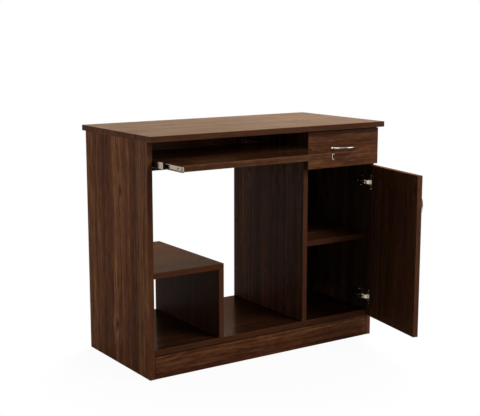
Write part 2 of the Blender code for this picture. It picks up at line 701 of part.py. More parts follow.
def main():
    clear_scene()
    wood = make_material("walnut_board", (0.075, 0.034, 0.018), 0.42, 0.0)
    ply = make_material("drawer_ply", (0.10, 0.055, 0.030), 0.55, 0.0)
    back = make_material("back_hardboard", (0.045, 0.022, 0.013), 0.60, 0.0)
    steel = make_material("slide_steel", (0.55, 0.50, 0.43), 0.34, 1.0)
    nickel = make_material("hinge_nickel", (0.66, 0.62, 0.56), 0.26, 1.0)
    chrome = make_material("handle_chrome", (0.72, 0.70, 0.67), 0.14, 1.0)
    plastic = make_material("guide_plastic", (0.012, 0.012, 0.013), 0.45, 0.0)
    right, divider, shelf_low = build_carcass(wood, back)
    build_shelf_pins(right, divider, shelf_low, nickel)
    build_tray(wood, steel, plastic)
    build_drawer(wood, ply, steel, plastic, chrome)
    build_door(wood, nickel, chrome)


main()
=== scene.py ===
import json
import math

import bpy
from mathutils import Matrix, Vector


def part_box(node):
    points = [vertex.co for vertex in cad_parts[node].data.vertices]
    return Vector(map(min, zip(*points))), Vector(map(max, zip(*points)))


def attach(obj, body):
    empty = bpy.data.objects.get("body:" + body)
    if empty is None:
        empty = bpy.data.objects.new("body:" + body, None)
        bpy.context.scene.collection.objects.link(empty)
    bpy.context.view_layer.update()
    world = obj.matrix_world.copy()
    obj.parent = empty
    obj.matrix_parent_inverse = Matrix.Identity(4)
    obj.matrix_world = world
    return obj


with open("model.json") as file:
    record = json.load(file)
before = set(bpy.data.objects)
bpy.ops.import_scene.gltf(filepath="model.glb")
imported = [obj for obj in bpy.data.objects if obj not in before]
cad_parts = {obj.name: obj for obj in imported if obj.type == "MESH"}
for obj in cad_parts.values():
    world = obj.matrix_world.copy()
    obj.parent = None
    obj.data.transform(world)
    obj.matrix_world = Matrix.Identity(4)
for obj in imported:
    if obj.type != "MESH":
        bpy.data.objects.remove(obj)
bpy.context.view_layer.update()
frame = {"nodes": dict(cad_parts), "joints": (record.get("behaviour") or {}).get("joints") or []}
nodes = frame["nodes"]
joints = {joint["name"]: joint for joint in frame["joints"]}

# small helpers for node trees

def put(tree, kind, feeds=None, **settings):
    node = tree.nodes.new(kind)
    node.location = (190 * (len(tree.nodes) % 9), -240 * (len(tree.nodes) // 9))
    for name, value in settings.items():
        setattr(node, name, value)
    for key, value in (feeds or {}).items():
        if isinstance(value, bpy.types.NodeSocket):
            tree.links.new(value, node.inputs[key])
        else:
            node.inputs[key].default_value = value
    return node


def calc(tree, operation, a, b=0.0, c=0.0, clamp=False):
    feeds = {0: a, 1: b, 2: c}
    return put(tree, "ShaderNodeMath", feeds, operation=operation, use_clamp=clamp).outputs[0]


def times(tree, a, b):
    return calc(tree, "MULTIPLY", a, b)


def vectorCalc(tree, operation, a, b=(0.0, 0.0, 0.0)):
    return put(tree, "ShaderNodeVectorMath", {0: a, 1: b}, operation=operation).outputs[0]


def opaque(color):
    return (*color, 1.0)


def blendColor(tree, share, a, b, how="MIX"):
    feeds = {0: share, 6: a, 7: b}
    return put(tree, "ShaderNodeMix", feeds, data_type="RGBA", blend_type=how).outputs[2]


# lays a tone over a colour where a mask is: real stains, wear and dust, and the painted shade of joints and rails
def overlayTone(tree, color, mask, share, tone):
    return blendColor(tree, times(tree, mask, share), color, opaque(tone))


def ease(tree, value, low, high, toLow=0.0, toHigh=1.0):
    feeds = {"Value": value, "From Min": low, "From Max": high, "To Min": toLow, "To Max": toHigh}
    return put(tree, "ShaderNodeMapRange", feeds, interpolation_type="SMOOTHSTEP").outputs["Result"]


def noise(tree, vector, scale, detail=2.0, rough=0.5):
    feeds = {"Vector": vector, "Scale": scale, "Detail": detail, "Roughness": rough}
    return put(tree, "ShaderNodeTexNoise", feeds).outputs["Fac"]


def centred(tree, value):
    return calc(tree, "SUBTRACT", value, 0.5)


def cells(tree, dimensions, **feeds):
    return put(tree, "ShaderNodeTexVoronoi", {**feeds, "Scale": 1.0}, voronoi_dimensions=dimensions).outputs


def split(tree, vector):
    return put(tree, "ShaderNodeSeparateXYZ", {0: vector}).outputs


def pack(tree, x, y, z):
    return put(tree, "ShaderNodeCombineXYZ", {0: x, 1: y, 2: z}).outputs[0]


def newGroup(name, inputs, outputs):
    tree = bpy.data.node_groups.new(name, "ShaderNodeTree")
    for label, kind, value in inputs:
        socket = tree.interface.new_socket(label, in_out="INPUT", socket_type="NodeSocket" + kind)
        socket.default_value = value
    for label, kind in outputs:
        tree.interface.new_socket(label, in_out="OUTPUT", socket_type="NodeSocket" + kind)
    return tree, tree.nodes.new("NodeGroupInput").outputs, tree.nodes.new("NodeGroupOutput").inputs


def useGroup(tree, group, feeds):
    return put(tree, "ShaderNodeGroup", feeds, node_tree=group).outputs


def newMaterial(name, **shaderValues):
    made = bpy.data.materials.new(name)
    made.use_nodes = True
    tree = made.node_tree
    shader = tree.nodes["Principled BSDF"]
    for key, value in shaderValues.items():
        shader.inputs[key].default_value = value
    place = put(tree, "ShaderNodeTexCoord").outputs["Object"]
    return made, tree, shader, place


def addBump(tree, shader, height, strength, distance):
    bump = put(tree, "ShaderNodeBump", {"Height": height, "Strength": strength, "Distance": distance})
    tree.links.new(bump.outputs[0], shader.inputs["Normal"])


def dress(name, material):
    slots = nodes[name].material_slots
    if not slots:
        nodes[name].data.materials.append(material)
    for slot in slots:
        slot.material = material


# camera, at the photograph's angle

cameraSetup = {
    "place": (-1.8695, -2.6254, 1.0589),
    "looks": (0.54952, 0.81722, -0.17374),
    "lens": 76.48,
}
cameraData = bpy.data.cameras.new("deskCamera")
cameraData.lens = cameraSetup["lens"]
camera = bpy.data.objects.new("deskCamera", cameraData)
camera.location = cameraSetup["place"]
camera.rotation_euler = Vector(cameraSetup["looks"]).to_track_quat("-Z", "Y").to_euler()
bpy.context.scene.collection.objects.link(camera)
bpy.context.scene.camera = camera
bpy.context.scene.view_settings.view_transform = "Standard"

# lamps: a softbox behind and to the right, a light close to the left end, a high and a low one before the front,
# a weak fill and a narrow spot near the floor, and a screen and cards for gloss and metal to mirror

lampColor = (1.0, 0.975, 0.93)
wideOpen = 180.0
lamps = {
    "rearSoftbox": {
        "place": (2.95, 2.5, 2.2), "aim": (0.0, 0.15, 0.75), "size": (2.4, 1.3), "power": 500.0,
        "gloss": False,
    },
    "paleScreen": {
        "place": (2.1, 3.0, 2.2), "aim": (0.0, 0.15, 0.75), "size": (3.4, 1.8), "power": 17.0,
        "gloss": True, "tint": (1.0, 0.99, 0.86),
    },
    "sideLight": {
        "place": (-1.50, 0.34, 0.56), "aim": (-0.45, 0.22, 0.42), "size": (0.6, 1.3), "power": 7.3,
        "gloss": True,
    },
    "frontLight": {
        "place": (1.75, -2.3, 3.40), "aim": (0.0, -0.05, 0.55), "size": (1.8, 1.4), "power": 95.0,
        "gloss": False,
    },
    "lowFront": {
        "place": (0.85, -3.25, 1.50), "aim": (0.0, -0.05, 0.45), "size": (2.2, 1.8), "power": 27.0,
        "gloss": False,
    },
    "leftFill": {
        "place": (-2.4, -2.6, 0.22), "aim": (0.2, 0.0, 0.35), "size": (2.0, 0.4), "power": 3.0,
        "gloss": False,
    },
    "plinthSpot": {
        "place": (-0.5, -2.6, 0.10), "aim": (0.42, 0.0, -0.03), "size": (0.2, 0.08), "power": 0.05,
        "gloss": False, "spread": 8.0,
    },
    "handleCard": {
        "place": (2.9, -2.3, 0.70), "aim": (0.29, -0.05, 0.66), "size": (3.2, 1.2), "power": 27.0,
        "gloss": True, "fill": False,
    },
    "frontCard": {
        "place": (-2.6, -3.6, 1.3), "aim": (0.1, 0.0, 0.5), "size": (2.6, 2.2), "power": 30.0,
        "gloss": True, "fill": False,
    },
    "leftCard": {
        "place": (-3.7, -0.95, 0.75), "aim": (0.3, -0.1, 0.5), "size": (1.6, 1.6), "power": 50.0,
        "gloss": True, "fill": False, "tint": (1.0, 0.89, 0.76),
    },
    "lowCard": {
        "place": (-2.3, 2.3, 0.30), "aim": (-0.42, -0.05, 0.65), "size": (1.8, 1.4), "power": 5.0,
        "gloss": True, "fill": False,
    },
}


def addLamp(name, setup):
    data = bpy.data.lights.new(name, "AREA")
    data.shape = "RECTANGLE"
    data.size, data.size_y = setup["size"]
    data.energy = setup["power"]
    data.spread = math.radians(setup.get("spread", wideOpen))
    data.color = setup.get("tint", lampColor)
    lamp = bpy.data.objects.new(name, data)
    lamp.location = setup["place"]
    aim = Vector(setup["aim"]) - Vector(setup["place"])
    lamp.rotation_euler = aim.to_track_quat("-Z", "Y").to_euler()
    lamp.visible_glossy = setup["gloss"]
    lamp.visible_diffuse = setup.get("fill", True)      # a card is only there to be mirrored
    bpy.context.scene.collection.objects.link(lamp)


for lampName, lampSetup in lamps.items():
    addLamp(lampName, lampSetup)


def seenDirectly(tree):
    path = put(tree, "ShaderNodeLightPath").outputs
    return path["Is Camera Ray"], calc(tree, "MAXIMUM", path["Is Glossy Ray"], path["Is Transmission Ray"])


# the room: white to the camera, and to gloss a dim place with a lit sweep behind and a bright ceiling

room = {
    "fill": 0.004,                          # light from every side
    "sweep": (0.75, 0.65, 0.12),            # where the lit white sweep stands
    "sweepEdge": (0.1, 0.9),                # how it fades off to the sides
    "sweepShine": 0.2,
    "dimSide": 0.05,                        # the room away from the sweep
    "ceiling": (0.3, 0.65),                 # the rise at which the ceiling begins and is full
    "color": (1.0, 0.82, 0.60, 1.0),
    "glow": (2.0, 0.85, 0.38, 1.0),         # a warmer band some way up
    "glowFoot": (0.13, 0.19),               # the rise of its lower and upper edge
    "glowHead": (0.42, 0.33),
    "white": (1.0, 1.0, 1.0, 1.0),
}
world = bpy.data.worlds.new("studioAir")
world.use_nodes = True
bpy.context.scene.world = world
airTree = world.node_tree
background = airTree.nodes["Background"].inputs
toCamera, toShine = seenDirectly(airTree)
heading = put(airTree, "ShaderNodeTexCoord").outputs["Generated"]
sweepWay = {0: heading, 1: Vector(room["sweep"]).normalized()}
facing = put(airTree, "ShaderNodeVectorMath", sweepWay, operation="DOT_PRODUCT").outputs["Value"]
sweepLight = ease(airTree, facing, *room["sweepEdge"], room["dimSide"], room["sweepShine"])
rise = split(airTree, heading)[2]
ceiling = ease(airTree, rise, *room["ceiling"])
strength = times(airTree, toShine, calc(airTree, "MAXIMUM", sweepLight, ceiling))
strength = calc(airTree, "MAXIMUM", strength, room["fill"])
strength = calc(airTree, "MAXIMUM", strength, toCamera)
airTree.links.new(strength, background["Strength"])
glowing = times(airTree, ease(airTree, rise, *room["glowFoot"]), ease(airTree, rise, *room["glowHead"]))
shineColor = blendColor(airTree, glowing, room["color"], room["glow"])
airTree.links.new(blendColor(airTree, toCamera, shineColor, room["white"]), background["Color"])

# the floor: white paper that keeps the desk's shadow

floorPaper = {
    "reach": 14.0,
    "drop": 0.0005,                 # below the desk's underside
    "tone": 0.85,                   # as the camera sees it
    "bounce": 0.11,                 # as it throws light back
    "show": 0.955,                  # share that is plain white to the camera close to the desk
    "gloss": 0.08,                  # and to glossy surfaces
    "middle": (0.0, 0.18, 0.0),     # under the desk
    "fade": (0.42, 0.90),           # distance over which it turns all white
}
floorMesh = bpy.data.meshes.new("floor")
reach = floorPaper["reach"]
floorCorners = [(-reach, -reach, 0), (reach, -reach, 0), (reach, reach, 0), (-reach, reach, 0)]
floorMesh.from_pydata(floorCorners, [], [(0, 1, 2, 3)])
floor = bpy.data.objects.new("floor", floorMesh)
floor.location.z = -floorPaper["drop"]
bpy.context.scene.collection.objects.link(floor)
floorPaint = bpy.data.materials.new("floorPaint")
floorPaint.use_nodes = True
floorTree = floorPaint.node_tree
floorTree.nodes.remove(floorTree.nodes["Principled BSDF"])
toCamera, toShine = seenDirectly(floorTree)
paperTone = ease(floorTree, toCamera, 0.0, 1.0, floorPaper["bounce"], floorPaper["tone"])
paperColor = pack(floorTree, paperTone, paperTone, paperTone)
matte = put(floorTree, "ShaderNodeBsdfDiffuse", {"Color": paperColor}).outputs[0]
lift = put(floorTree, "ShaderNodeEmission", {"Strength": 1.0}).outputs[0]
floorPlace = put(floorTree, "ShaderNodeTexCoord").outputs["Object"]
onFloor = vectorCalc(floorTree, "SUBTRACT", floorPlace, floorPaper["middle"])
outward = put(floorTree, "ShaderNodeVectorMath", {0: onFloor}, operation="LENGTH").outputs["Value"]
fade = ease(floorTree, outward, *floorPaper["fade"], floorPaper["show"], 1.0)
inGloss = times(floorTree, toShine, floorPaper["gloss"])
showing = calc(floorTree, "MAXIMUM", times(floorTree, toCamera, fade), inGloss)
paperMix = put(floorTree, "ShaderNodeMixShader", {0: showing, 1: matte, 2: lift}).outputs[0]
floorTree.links.new(paperMix, floorTree.nodes["Material Output"].inputs["Surface"])
floorMesh.materials.append(floorPaint)
print("studio up")

# walnut figure: strips of differing shade, streaks, cathedral rings, knots and pores, grain along X

figureGroup, figureIn, figureOut = newGroup(
    "walnutFigure",
    [
        ("Vector", "Vector", (0.0, 0.0, 0.0)),
        ("Strip Width", "Float", 0.03),
        ("Seed", "Float", 0.0),
        ("Contrast", "Float", 1.0),
    ],
    [("Color", "Color"), ("Grain", "Float"), ("Roughness", "Float")],
)

walnut = {
    "tones": [
        (0.00, (0.030, 0.0115, 0.0055)),
        (0.28, (0.074, 0.0262, 0.0112)),
        (0.50, (0.116, 0.0432, 0.0184)),
        (0.74, (0.185, 0.0830, 0.0360)),
        (1.00, (0.285, 0.1550, 0.0710)),
    ],
    "seedAlong": 3.17,              # how far a seed moves the figure along the grain
    "seedAcross": 7.31,             # and across it, in strips
    "knotRate": (4.6, 8.0),         # along and across
    "knotFrom": 0.72,               # only cells above this hold a knot
    "eye": (0.065, 0.03),           # distances over which each ring round a knot comes in
    "ringed": (0.15, 0.07),
    "halo": (0.44, 0.05),
    "pull": -0.075,                 # how far the grain bends round the eye
    "wanderRate": (2.2, 6.0),
    "wanderDetail": 3.0,
    "wander": 0.024,
    "sliverRate": 3.7,              # narrow bands to a strip
    "slip": 9.0,                    # each strip comes from another stretch of the log
    "marks": {                      # rate along and across the grain, detail, roughness
        "streak": (2.6, 70.0, 4.0, 0.6),
        "mottle": (26.0, 95.0, 3.0, 0.6),
        "cloud": (5.0, 14.0, 3.0, 0.55),
        "fine": (9.0, 480.0, 3.0, 0.6),
        "bend": (2.4, 10.0, 2.0, 0.5),
    },
    "ringRate": 46.0,
    "ringBend": 6.5,
    "ringHalo": 1.2,
    "pores": (34.0, 1000.0, 1.0, 0.5),
    "poreFrom": (0.60, 0.70),
    "stripWeight": 0.42,
    "weights": {
        "sliver": 0.20, "streak": 0.75, "mottle": 0.72, "cloud": 0.50, "fine": 0.42, "ring": 0.06, "halo": 0.16,
    },
    "warm": (0.6, (1.0, 0.80, 0.68)),               # share and tint of the redder strips
    "olive": (0.3, (0.92, 0.98, 0.80)),             # and of the greener ones
    "ringStain": (0.45, (0.058, 0.0200, 0.0100)),   # share and colour
    "eyeStain": (0.85, (0.020, 0.0090, 0.0055)),
    "poreStain": (0.35, (0.030, 0.0120, 0.0068)),
    "grain": (0.8, 0.6),                            # height of the fine figure, depth of the pores
    "rough": (0.44, -0.16, 0.12),                   # plain, in the streaks, in the pores
}


def buildFigure(tree, given, out):
    along, across, deep = split(tree, given["Vector"])
    seed = given["Seed"]
    shifted = calc(tree, "MULTIPLY_ADD", seed, walnut["seedAlong"], along)

    # knots: a few cells of a stretched pattern, each an eye that the grain runs round
    knotAlong, knotAcross = walnut["knotRate"]
    knotRow = calc(tree, "MULTIPLY_ADD", across, knotAcross, seed)
    knotAt = pack(tree, times(tree, shifted, knotAlong), knotRow, 0.0)
    knots = cells(tree, "2D", Vector=knotAt)
    chosen = calc(tree, "GREATER_THAN", split(tree, knots["Color"])[0], walnut["knotFrom"])
    away = vectorCalc(tree, "SUBTRACT", knotAt, knots["Position"])
    eye, ringed, halo = (
        times(tree, ease(tree, knots["Distance"], *walnut[name]), chosen) for name in ("eye", "ringed", "halo")
    )
    pull = times(tree, times(tree, halo, split(tree, away)[1]), walnut["pull"])

    # strips, across a grain that wanders
    wanderAlong, wanderAcross = walnut["wanderRate"]
    wanderAt = pack(tree, times(tree, shifted, wanderAlong), times(tree, across, wanderAcross), seed)
    wander = centred(tree, noise(tree, wanderAt, 1.0, walnut["wanderDetail"]))
    lane = calc(tree, "MULTIPLY_ADD", wander, walnut["wander"], calc(tree, "ADD", across, pull))
    laneIndex = calc(tree, "DIVIDE", lane, given["Strip Width"])
    laneIndex = calc(tree, "MULTIPLY_ADD", seed, walnut["seedAcross"], laneIndex)
    shade, hue, slip = split(tree, cells(tree, "1D", W=laneIndex)["Color"])
    slivers = cells(tree, "1D", W=times(tree, laneIndex, walnut["sliverRate"]))
    slipAlong = calc(tree, "MULTIPLY_ADD", slip, walnut["slip"], shifted)

    def stretched(start, alongRate, acrossRate, detail, rough):
        at = pack(tree, times(tree, start, alongRate), times(tree, lane, acrossRate), times(tree, deep, acrossRate))
        return noise(tree, at, 1.0, detail, rough)

    marks = {name: centred(tree, stretched(slipAlong, *setup)) for name, setup in walnut["marks"].items()}
    phase = calc(tree, "MULTIPLY_ADD", marks["bend"], walnut["ringBend"], times(tree, lane, walnut["ringRate"]))
    phase = calc(tree, "MULTIPLY_ADD", halo, walnut["ringHalo"], phase)
    marks["ring"] = calc(tree, "SINE", times(tree, phase, 2.0 * math.pi))
    marks["sliver"] = centred(tree, split(tree, slivers["Color"])[0])
    marks["halo"] = halo
    pore = ease(tree, stretched(shifted, *walnut["pores"]), *walnut["poreFrom"])

    tone = times(tree, centred(tree, shade), walnut["stripWeight"])
    for name, weight in walnut["weights"].items():
        tone = calc(tree, "MULTIPLY_ADD", marks[name], weight, tone)
    tone = calc(tree, "MULTIPLY_ADD", tone, given["Contrast"], 0.5, clamp=True)
    ramp = put(tree, "ShaderNodeValToRGB", {"Fac": tone})
    stops = ramp.color_ramp.elements
    while len(stops) < len(walnut["tones"]):
        stops.new(0.5)
    for stop, (at, color) in zip(stops, walnut["tones"]):
        stop.position = at
        stop.color = opaque(color)
    warm, olive = (
        blendColor(tree, share, ramp.outputs["Color"], opaque(tint), "MULTIPLY")
        for share, tint in (walnut["warm"], walnut["olive"])
    )
    color = blendColor(tree, hue, warm, olive)
    color = overlayTone(tree, color, ringed, *walnut["ringStain"])
    color = overlayTone(tree, color, eye, *walnut["eyeStain"])
    color = overlayTone(tree, color, pore, *walnut["poreStain"])
    tree.links.new(color, out["Color"])
    height, depth = walnut["grain"]
    grain = calc(tree, "SUBTRACT", times(tree, marks["fine"], height), times(tree, pore, depth))
    tree.links.new(grain, out["Grain"])
    plain, inStreaks, inPores = walnut["rough"]
    rough = calc(tree, "MULTIPLY_ADD", marks["streak"], inStreaks, plain)
    rough = calc(tree, "MULTIPLY_ADD", pore, inPores, rough)
    tree.links.new(rough, out["Roughness"])


buildFigure(figureGroup, figureIn, figureOut)

# where a board's banded edges, their glue lines and its worn corners are

edgeGroup, edgeIn, edgeOut = newGroup(
    "boardEdges",
    [
        ("Vector", "Vector", (0.0, 0.0, 0.0)),
        ("Low", "Vector", (0.0, 0.0, 0.0)),
        ("High", "Vector", (1.0, 1.0, 1.0)),
        ("Faces", "Vector", (0.0, 0.0, 1.0)),    # 1 along the board's thickness
        ("Band", "Float", 0.0009),
    ],
    [("Band", "Float"), ("Seam", "Float"), ("Worn", "Float")],
)

edgeSetup = {
    "bandSoft": (1.15, 0.85),           # in band thicknesses
    "seam": (0.00030, 0.00010),
    "patch": (55.0, 4.0, 0.65),         # scale, detail and roughness of the wear
    "wornReach": 0.0014,
    "wornSpread": 0.006,
    "wornFade": (0.0008, -0.0006),
}


def buildEdges(tree, given, out):
    fromLow = vectorCalc(tree, "SUBTRACT", given["Vector"], given["Low"])
    fromHigh = vectorCalc(tree, "SUBTRACT", given["High"], given["Vector"])
    near = vectorCalc(tree, "MINIMUM", fromLow, fromHigh)

    # distance to the nearest arris, the middle one of the three
    a, b, c = split(tree, near)
    lowPair = calc(tree, "MINIMUM", a, b)
    highPair = calc(tree, "MAXIMUM", a, b)
    corner = calc(tree, "MAXIMUM", lowPair, calc(tree, "MINIMUM", highPair, c))

    # distance in from a banded edge
    a, b, c = split(tree, vectorCalc(tree, "ADD", near, given["Faces"]))
    side = calc(tree, "MINIMUM", calc(tree, "MINIMUM", a, b), c)
    band = given["Band"]
    outer, inner = (times(tree, band, share) for share in edgeSetup["bandSoft"])
    tree.links.new(ease(tree, side, outer, inner), out["Band"])
    offSeam = calc(tree, "ABSOLUTE", calc(tree, "SUBTRACT", side, band))
    tree.links.new(ease(tree, offSeam, *edgeSetup["seam"]), out["Seam"])
    patchy = centred(tree, noise(tree, given["Vector"], *edgeSetup["patch"]))
    reachIn = calc(tree, "MULTIPLY_ADD", patchy, edgeSetup["wornSpread"], edgeSetup["wornReach"])
    beyond = calc(tree, "SUBTRACT", corner, reachIn)
    tree.links.new(ease(tree, beyond, *edgeSetup["wornFade"]), out["Worn"])


buildEdges(edgeGroup, edgeIn, edgeOut)

# handling marks: patches of slightly changed gloss, and specks of dust

filmGroup, filmIn, filmOut = newGroup(
    "handlingFilm",
    [("Vector", "Vector", (0.0, 0.0, 0.0)), ("Amount", "Float", 0.1), ("Scale", "Float", 6.0)],
    [("Gloss", "Float"), ("Dust", "Float")],
)

filmSetup = {"patch": (4.0, 0.6), "specks": (420.0, 2.0, 0.5), "speckFrom": (0.66, 0.78)}


def buildFilm(tree, given, out):
    wide = centred(tree, noise(tree, given["Vector"], given["Scale"], *filmSetup["patch"]))
    tree.links.new(times(tree, wide, given["Amount"]), out["Gloss"])
    specks = noise(tree, given["Vector"], *filmSetup["specks"])
    tree.links.new(ease(tree, specks, *filmSetup["speckFrom"]), out["Dust"])


buildFilm(filmGroup, filmIn, filmOut)

# each board: its grain direction, its thickness direction, its own stretch of the figure, and where it has them
# the tone of its faces and its banding, its gloss, and the ends (axis, end, width) with a dark line of painted
# shade in the joint

doorTurn = math.radians(80.0)
# shade multiplies the print of a board's faces: painted shade on the base board, the shelves, the bay upright, the
# tray, the rear apron's front face and the right panel's inner face; painted light on the drawer front; a shift of
# hue on the top and the plinth
boards = {
    "desk_top": {
        "grain": 0, "thin": 2, "seed": 1.3, "strip": 0.046, "contrast": 0.55,
        "shade": (0.82, 1.06, 1.08), "band": (0.044, 0.0125, 0.0064),
    },
    # its banding is painted lighter than the other boards', painted light on the front edge
    "left_side_panel": {
        "grain": 2, "thin": 0, "seed": 4.2, "strip": 0.030, "sheen": 0.06, "band": (0.134, 0.0450, 0.0205),
    },
    "right_side_panel": {
        "grain": 2, "thin": 0, "seed": 9.1, "strip": 0.030, "shade": (0.60, 0.80, 0.90), "shadeEnd": -1,
    },
    "divider_panel": {
        "grain": 2, "thin": 0, "seed": 6.6, "strip": 0.032, "band": (0.096, 0.0325, 0.0146),
    },
    "bay_upright": {
        "grain": 2, "thin": 0, "seed": 2.8, "strip": 0.030, "contrast": 0.5,
        "shade": (0.70, 0.72, 0.74), "band": (0.084, 0.0290, 0.0134),
    },
    # painted shade: its faces and its front banding are darker than the other boards'
    "base_board": {
        "grain": 0, "thin": 2, "seed": 3.9, "strip": 0.036, "contrast": 0.6,
        "sheen": 0.036, "glint": (1.0, 0.76, 0.58), "polish": 0.36,
        "shade": (0.31, 0.30, 0.32), "band": (0.076, 0.0265, 0.0130),
        "jointShadeLines": ((0, -1, 0.0014), (0, 1, 0.0014)),
    },
    "bay_shelf": {
        "grain": 0, "thin": 2, "seed": 5.4, "strip": 0.036, "contrast": 0.6,
        "sheen": 0.018, "glint": (1.0, 0.76, 0.56), "polish": 0.6, "shade": (0.40, 0.39, 0.33),
    },
    # painted shade: its faces and its front banding are darker than the other boards'
    "cabinet_shelf": {
        "grain": 0, "thin": 2, "seed": 8.2, "strip": 0.036, "sheen": 0.08,
        "shade": (0.47, 0.49, 0.55), "band": (0.064, 0.0240, 0.0114),
    },
    "front_plinth": {
        "grain": 0, "thin": 1, "seed": 7.7, "strip": 0.028, "sheen": 0.05, "shade": (1.0, 0.89, 0.96),
        "jointShadeLines": ((2, 1, 0.0056), (0, -1, 0.0026), (0, 1, 0.0036)),
    },
    "rear_plinth": {"grain": 0, "thin": 1, "seed": 2.1, "strip": 0.028},
    "rear_apron": {
        "grain": 0, "thin": 1, "seed": 9.8, "strip": 0.030, "shade": (0.45, 0.45, 0.5), "shadeEnd": -1,
    },
    "keyboard_tray": {
        "grain": 0, "thin": 2, "seed": 11.4, "strip": 0.036, "contrast": 1.5,
        "sheen": 0.30, "edgeSheen": 0.05, "polish": 0.35,
        "shade": (0.62, 0.59, 0.62), "band": (0.066, 0.0225, 0.0104),
    },
    # painted light: its faces are lighter than the other boards'
    "drawer_front": {
        "grain": 0, "thin": 1, "seed": 58.1, "strip": 0.040, "sheen": 0.05, "shade": (1.10, 1.09, 1.12),
        "jointShadeLines": ((2, 1, 0.0024),),
    },
    "drawer_left_side": {"grain": 1, "thin": 0, "seed": 13.3, "strip": 0.030},
    "drawer_right_side": {"grain": 1, "thin": 0, "seed": 14.5, "strip": 0.030},
    "drawer_inner_front": {"grain": 0, "thin": 1, "seed": 15.2, "strip": 0.030},
    "drawer_back": {"grain": 0, "thin": 1, "seed": 16.9, "strip": 0.030},
    "door_panel": {"grain": 2, "thin": 1, "seed": 17.5, "strip": 0.032, "turn": doorTurn},
}
plainBoard = {
    "turn": 0.0,
    "contrast": 1.0,
    "sheen": 0.16,
    "glint": (1.0, 1.0, 1.0),
    "polish": 1.0,
    "band": (0.112, 0.0375, 0.0168),
    "jointShadeLines": (),
}
boardLook = {
    "film": 0.22,
    "bandShare": 0.55,                              # the banding is a plainer, redder strip of print
    "bandMatt": 0.3,                                # and matt
    "faceSoft": 0.001,                              # where a tone on one face stops, inside the board
    "seam": (0.55, (0.020, 0.0090, 0.0055)),        # share and colour
    "worn": (0.08, (0.300, 0.1700, 0.0900)),
    "dust": (0.10, (0.330, 0.3000, 0.2700)),
    # painted shade: a dark line where a board meets another part and shade falls in the joint
    "jointShade": (0.85, (0.010, 0.0050, 0.0034)),
    "jointShadeCore": 0.4,                                # share of the painted shade line that is full
    "wornPolish": -0.06,
    "seamDepth": -0.8,
    "bump": (0.35, 0.00025),
}


def boardMaterial(name, given):
    setup = {**plainBoard, **given}
    made, tree, shader, place = newMaterial(
        name + "_walnut", **{"Specular IOR Level": setup["sheen"], "Specular Tint": opaque(setup["glint"])}
    )
    turn, thin = setup["turn"], setup["thin"]
    if turn:
        place = put(tree, "ShaderNodeMapping", {"Vector": place, "Rotation": (0.0, 0.0, -turn)}).outputs[0]
    square = Matrix.Rotation(-turn, 3, "Z")
    corners = [square @ v.co for v in nodes[name].data.vertices]
    low = [min(c[i] for c in corners) for i in range(3)]
    high = [max(c[i] for c in corners) for i in range(3)]
    faces = [1.0 if i == thin else 0.0 for i in range(3)]
    edges = useGroup(tree, edgeGroup, {"Vector": place, "Low": low, "High": high, "Faces": faces})
    parts = split(tree, place)
    cross = 3 - setup["grain"] - thin
    lie = pack(tree, parts[setup["grain"]], parts[cross], parts[thin])
    cutting = {"Strip Width": setup["strip"], "Seed": setup["seed"], "Contrast": setup["contrast"]}
    figure = useGroup(tree, figureGroup, {"Vector": lie, **cutting})
    film = useGroup(tree, filmGroup, {"Vector": place, "Amount": boardLook["film"]})

    banding = blendColor(tree, boardLook["bandShare"], figure["Color"], opaque(setup["band"]))
    sheet = figure["Color"]
    if "shade" in setup:                            # painted shade on the inner boards and tray, painted light on the drawer front, hue on top and plinth
        share = 1.0
        if "shadeEnd" in setup:                     # painted shade on one of its two faces only
            middle = (low[thin] + high[thin]) / 2
            soft = boardLook["faceSoft"] * setup["shadeEnd"]
            share = ease(tree, parts[thin], middle - soft, middle + soft)
        sheet = blendColor(tree, share, sheet, opaque(setup["shade"]), "MULTIPLY")
    color = blendColor(tree, edges["Band"], sheet, banding)
    color = overlayTone(tree, color, edges["Seam"], *boardLook["seam"])
    color = overlayTone(tree, color, edges["Worn"], *boardLook["worn"])
    color = overlayTone(tree, color, film["Dust"], *boardLook["dust"])
    # painted shade in the joints: drawer front's top under the desk top, plinth's top and ends, base board's ends
    for axis, end, wide in setup["jointShadeLines"]:
        span = (high[axis], parts[axis]) if end > 0 else (parts[axis], low[axis])
        line = ease(tree, calc(tree, "SUBTRACT", *span), wide, boardLook["jointShadeCore"] * wide)
        color = overlayTone(tree, color, line, *boardLook["jointShade"])
    tree.links.new(color, shader.inputs["Base Color"])

    rough = calc(tree, "ADD", figure["Roughness"], film["Gloss"])
    rough = times(tree, rough, setup["polish"])
    rough = calc(tree, "MULTIPLY_ADD", edges["Band"], boardLook["bandMatt"], rough)
    rough = calc(tree, "MULTIPLY_ADD", edges["Worn"], boardLook["wornPolish"], rough)
    tree.links.new(rough, shader.inputs["Roughness"])
    if "edgeSheen" in setup:
        level = ease(tree, edges["Band"], 0.0, 1.0, setup["sheen"], setup["edgeSheen"])
        tree.links.new(level, shader.inputs["Specular IOR Level"])
    height = calc(tree, "MULTIPLY_ADD", edges["Seam"], boardLook["seamDepth"], figure["Grain"])
    addBump(tree, shader, height, *boardLook["bump"])
    return made


for boardName, boardSetup in boards.items():
    dress(boardName, boardMaterial(boardName, boardSetup))
print("boards dressed:", len(boards))

# hardboard of the cupboard back and the drawer bottom: pressed fibre with a thin printed face, darkened with
# painted shade

